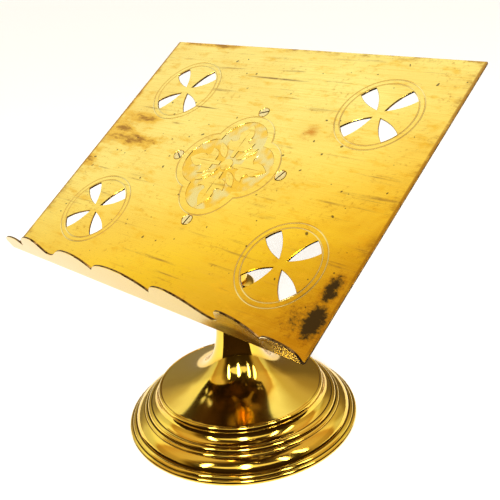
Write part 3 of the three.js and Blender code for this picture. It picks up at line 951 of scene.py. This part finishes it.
def slotted_screw(name, profile, slot_width, slot_depth, slot_angle, place):
    """A turned screw with a slot across its head, which lies at the profile's top."""
    piece = lathe(name, softened(profile, 0.25), 72)
    top = max(p.y for p in profile)
    reach = max(p.x for p in profile) + 1
    tool = block("slot", (-reach, -slot_width / 2, top - slot_depth), (reach, slot_width / 2, top + 1))
    tool.data.transform(Matrix.Rotation(slot_angle, 4, "Z"))
    finished(cut(piece, tool), 40, SCREW)
    piece.data.transform(place)
    return piece


def desk_screw(where):
    """A countersunk screw, flush with the desk."""
    angle, slot_angle = SCREWS[where]
    foot = -14.6
    profile = [Vector(v) for v in (
        (0, foot), (SCREW_RADIUS - 0.5, foot), (SCREW_RADIUS, foot + 0.5),
        (SCREW_RADIUS, SCREW_RADIUS - SCREW_HEAD), (SCREW_HEAD, 0), (0, 0))]
    return slotted_screw(f"head_screw_{where}", profile, 1.3, 1.1, slot_angle, screw_frame(angle))


def retaining_piece():
    """The cheese-head screw in the back of the stem."""
    head_top = retainer_high.y
    head_foot = STEM_RADIUS + GAP
    shank, tip = 2.2, 7.6
    profile = [Vector(v) for v in (
        (0, tip), (shank, tip), (shank, head_foot), (RETAINER_HEAD, head_foot),
        (RETAINER_HEAD, head_top - 0.5), (RETAINER_HEAD - 0.5, head_top), (0, head_top))]
    place = Matrix.Translation((0, 0, RETAINER_HEIGHT * MM)) @ Matrix.Rotation(-math.pi / 2, 4, "X")
    return slotted_screw("retaining_head", profile, 1.1, 1.2, math.pi / 2, place)


def nut_piece(name, across_flats, low, high, hole, place, material):
    """A hexagon nut with chamfered corners."""
    flat = across_flats / 2
    corner = flat / math.cos(math.pi / 6)
    chamfer = corner - flat
    profile = [Vector(v) for v in (
        (hole, low), (flat - 0.1, low), (corner + 0.2, low + chamfer),
        (corner + 0.2, high - chamfer), (flat - 0.1, high), (hole, high))]
    piece = lathe(name, profile, 96)
    ring = [(corner * math.cos(i * math.pi / 3), corner * math.sin(i * math.pi / 3)) for i in range(6)]
    vertices = [(x, y, low - 1) for x, y in ring] + [(x, y, high + 1) for x, y in ring]
    faces = [tuple(range(5, -1, -1)), tuple(range(6, 12))]
    faces += [(i, (i + 1) % 6, (i + 1) % 6 + 6, i + 6) for i in range(6)]
    finished(cut(piece, made("hexagon", vertices, faces), "INTERSECT"), 30, material)
    piece.data.transform(place)
    return piece


def bracket_piece():
    """The cast bracket: the CAD shape with the soft edges of a sand casting."""
    piece = bpy.data.objects.new("bracket_casting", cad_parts["desk_bracket"].data.copy())
    scene.collection.objects.link(piece)
    piece.data.materials.clear()
    grain = piece.modifiers.new("grain", "REMESH")
    grain.mode = "VOXEL"
    grain.voxel_size = 0.8 * MM
    soften = piece.modifiers.new("soften", "SMOOTH")
    soften.factor = 0.5
    soften.iterations = 3
    return finished(settled(piece), 60, CAST)


# ---------------------------------------------------------------- setting

def pale_floor():
    """A wide pale floor."""
    reach = 30000
    corners = [(-reach, -reach, 0), (reach, -reach, 0), (reach, reach, 0), (-reach, reach, 0)]
    floor = made("floor", corners, [(0, 1, 2, 3)])
    s = Shader("pale_paper")
    s.surface.inputs["Metallic"].default_value = 0
    grain = s.noise(s.place, 60, 3)
    s.bump((grain, 0.05))
    floor.data.materials.append(s.finish(s.mix(grain, (0.93, 0.93, 0.91), (0.95, 0.95, 0.93)), 0.9))


def room():
    """White paper round and above, a dim brown room behind the camera and a dim place behind the desk.
    Reflections and the light on the object come from it; the camera sees plain white."""
    world = bpy.data.worlds.new("room")
    scene.world = world
    world.use_nodes = True
    w = Nodes(world.node_tree)

    def ramp(value, low, high, stops):
        """Colours at their places between low and high."""
        spread = w.node("ShaderNodeMapRange", {"Value": value, "From Min": low, "From Max": high})
        colours = w.node("ShaderNodeValToRGB", {"Fac": spread.outputs[0]})
        elements = colours.color_ramp.elements
        while len(elements) < len(stops):
            elements.new(0.5)
        for element, (place, colour) in zip(elements, stops):
            element.position = (place - low) / (high - low)
            element.color = (*colour, 1)
        return colours.outputs[0]

    def product(a, b):
        mixed = w.node("ShaderNodeMix", {0: 1, 6: a, 7: b}, data_type="RGBA", blend_type="MULTIPLY")
        return mixed.outputs[2]

    def nearness(azimuth, elevation, ragged):
        """1 towards a place round the object and -1 away from it, with an uneven edge."""
        towards = {0: direction, 1: direction_of(azimuth, elevation)}
        facing = w.node("ShaderNodeVectorMath", towards, operation="DOT_PRODUCT").outputs["Value"]
        noise = w.node("ShaderNodeTexNoise", {"Vector": direction, "Scale": 5, "Detail": 3}).outputs["Fac"]
        return w.node("ShaderNodeMath", {0: noise, 1: ragged, 2: facing}, operation="MULTIPLY_ADD").outputs[0]

    direction = w.node("ShaderNodeTexCoord").outputs["Generated"]
    paper = ramp(nearness(46, 18, 0.16), -0.8, 0.4, (
        (-0.56, (0.42, 0.40, 0.38)), (-0.44, (0.70, 0.67, 0.60)), (-0.36, (1.07, 1.13, 1.23)),
        (-0.10, (1.19, 1.30, 1.30)), (-0.035, (1.19, 1.20, 1.05)), (0.0, (1.04, 0.92, 0.57)),
        (0.035, (0.72, 0.48, 0.20)), (0.30, (0.80, 0.66, 0.40))))
    dark_side = ramp(nearness(46, 14, 0.16), 0, 1, (
        (0.46, (1, 1, 1)), (0.60, (0.30, 0.24, 0.16)), (0.72, (0.06, 0.045, 0.03))))
    dim_corner = ramp(nearness(-165, 20, 0.06), 0.7, 1, (
        (0.83, (1, 1, 1)), (0.92, (0.62, 0.52, 0.32)), (1.0, (0.62, 0.52, 0.38))))
    upwards = w.node("ShaderNodeSeparateXYZ", {0: direction}).outputs[2]
    height = ramp(upwards, 0, 1, (
        (0, (0.66, 0.66, 0.66)), (0.45, (0.76, 0.76, 0.76)), (0.58, (1, 1, 1)), (0.88, (1.0, 1.04, 1.35))))
    colour = product(product(paper, height), product(dark_side, dim_corner))
    reflected = w.node("ShaderNodeBackground", {"Color": colour}).outputs[0]
    plain = w.node("ShaderNodeBackground", {"Color": (1, 0.995, 0.98, 1)}).outputs[0]
    by_camera = w.node("ShaderNodeLightPath").outputs["Is Camera Ray"]
    seen = w.node("ShaderNodeMixShader", {0: by_camera, 1: reflected, 2: plain}).outputs[0]
    w.node("ShaderNodeOutputWorld", {"Surface": seen})


def dark_table():
    """The dark table in front of the paper. Only reflections see it."""
    near, far = 111, 30000
    first, last = math.radians(-120), math.radians(25)
    steps = 24
    corners = []
    for i in range(steps + 1):
        angle = first + (last - first) * i / steps
        for radius in (near, far):
            corners.append((radius * math.cos(angle), radius * math.sin(angle), 1))
    faces = [(2 * i, 2 * i + 1, 2 * i + 3, 2 * i + 2) for i in range(steps)]
    table = made("dark_table", corners, faces)
    s = Shader("dark_wood")
    s.surface.inputs["Metallic"].default_value = 0
    s.surface.inputs["Specular IOR Level"].default_value = 0
    grain = s.noise(s.stretched((30, 6, 1)), detail=4)
    table.data.materials.append(s.finish(s.mix(grain, (0.004, 0.003, 0.002), (0.03, 0.015, 0.005)), 0.6))
    for way in ("camera", "diffuse", "shadow", "transmission"):
        setattr(table, f"visible_{way}", False)


def direction_of(azimuth, elevation):
    """Unit vector towards a place round the object, azimuth 0 at -Y and 90 at +X."""
    a, e = math.radians(azimuth), math.radians(elevation)
    return Vector((math.sin(a) * math.cos(e), -math.cos(a) * math.cos(e), math.sin(e)))


def lamp(name, kind, energy, azimuth, elevation, distance, size, in_reflections):
    """A light pointed at the middle of the object. An area light's size is its width and height."""
    data = bpy.data.lights.new(name, kind)
    data.energy = energy
    if kind == "AREA":
        data.shape = "ELLIPSE"
        data.size, data.size_y = size
    else:
        data.angle = size
    light = bpy.data.objects.new(name, data)
    light.location = Vector((0, 0, 0.12)) + direction_of(azimuth, elevation) * distance
    light.rotation_euler = direction_of(azimuth, elevation).to_track_quat("Z", "Y").to_euler()
    light.visible_glossy = in_reflections
    scene.collection.objects.link(light)


def lights():
    """Soft light that only the floor takes, lamps that shine in the brass and a dim strip behind them."""
    lamp("soft_top", "SUN", 1.15, 20, 75, 3, math.radians(120), False)
    lamp("soft_key", "SUN", 1.6, 41, 29, 3, math.radians(7), False)
    places = ((4, 28, 0.20, 7), (44, 28, 0.24, 12), (84, 29, 0.17, 6), (106, 33, 0.20, 4))
    for number, (azimuth, elevation, width, energy) in enumerate(places):
        lamp(f"lamp_{number}", "AREA", energy, azimuth, elevation, 1.6, (width, 0.95), True)
    lamp("strip", "AREA", 3.2, 45, 27, 1.7, (2.2, 0.50), True)


def camera():
    """The photographer's place, from the front and right and above."""
    azimuth, elevation, roll = 45.171, 23.026, math.radians(4.788)
    back = direction_of(azimuth, elevation)
    level = direction_of(azimuth + 90, 0)
    upright = back.cross(level)
    right = math.cos(roll) * level - math.sin(roll) * upright
    up = math.sin(roll) * level + math.cos(roll) * upright
    data = bpy.data.cameras.new("camera")
    data.lens = 56.097
    data.sensor_width = 36
    data.clip_start = 0.01
    view = bpy.data.objects.new("camera", data)
    turn = Matrix((right, up, back)).transposed().to_4x4()
    view.matrix_world = Matrix.Translation((0.46722, -0.43673, 0.44136)) @ turn
    scene.collection.objects.link(view)
    scene.camera = view


# ---------------------------------------------------------------- assembly

TURNED = turned_brass("turned_brass", 0.006)
FOOT = turned_brass("foot_brass", 0.03)
SHEET_FACE = sheet_brass()
LEDGE = ledge_brass()
UNDERSIDE = underside_brass()
EDGE = edge_brass()
CAST = cast_brass()
SCREW = screw_brass()
STEEL = dark_steel()


def install(piece, body, node):
    """The piece rides on a body and stands for a CAD node."""
    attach(piece, body)
    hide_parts(node)


def repaint(node, material):
    """A CAD node keeps its shape, with a better material and its sharp edges slightly rounded."""
    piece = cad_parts[node]
    piece.data.materials.clear()
    piece.data.materials.append(material)
    bevel = piece.modifiers.new("edges", "BEVEL")
    bevel.width = 0.3 * MM
    bevel.segments = 2
    bevel.limit_method = "ANGLE"
    bevel.angle_limit = math.radians(35)
    bevel.harden_normals = True


camera()
install(foot_piece(), "stand", "foot_casting")
install(column_piece(), "stand", "column")
install(collar_piece(), "stand", "collar")
install(stem_piece(), "desk", "stem")
install(bracket_piece(), "desk", "desk_bracket")
install(desk_piece(), "desk", "desk_plate")
install(retaining_piece(), "desk", "retaining_screw")
nut_top = -SHEET - GAP - BRACKET_ARM - GAP
nut_hole = SCREW_RADIUS + GAP
for where, (angle, _) in SCREWS.items():
    install(desk_screw(where), "desk", f"screw_{where}")
    nut = nut_piece(f"hex_nut_{where}", NUT_FLATS, nut_top - NUT_HEIGHT, nut_top, nut_hole,
                    screw_frame(angle), CAST)
    install(nut, "desk", f"nut_{where}")
rod_nut_low, rod_nut_high = box_mm("rod_nut")
rod_nut = nut_piece("hex_nut_rod", ROD_NUT_FLATS, rod_nut_low.z, rod_nut_high.z, ROD_HOLE,
                    Matrix.Identity(4), STEEL)
install(rod_nut, "stand", "rod_nut")
for node, material in (("swivel_pin", CAST), ("cross_pin", CAST), ("tie_rod", STEEL), ("rod_washer", STEEL)):
    repaint(node, material)

pale_floor()
dark_table()
room()
lights()
scene.view_settings.view_transform = "Standard"
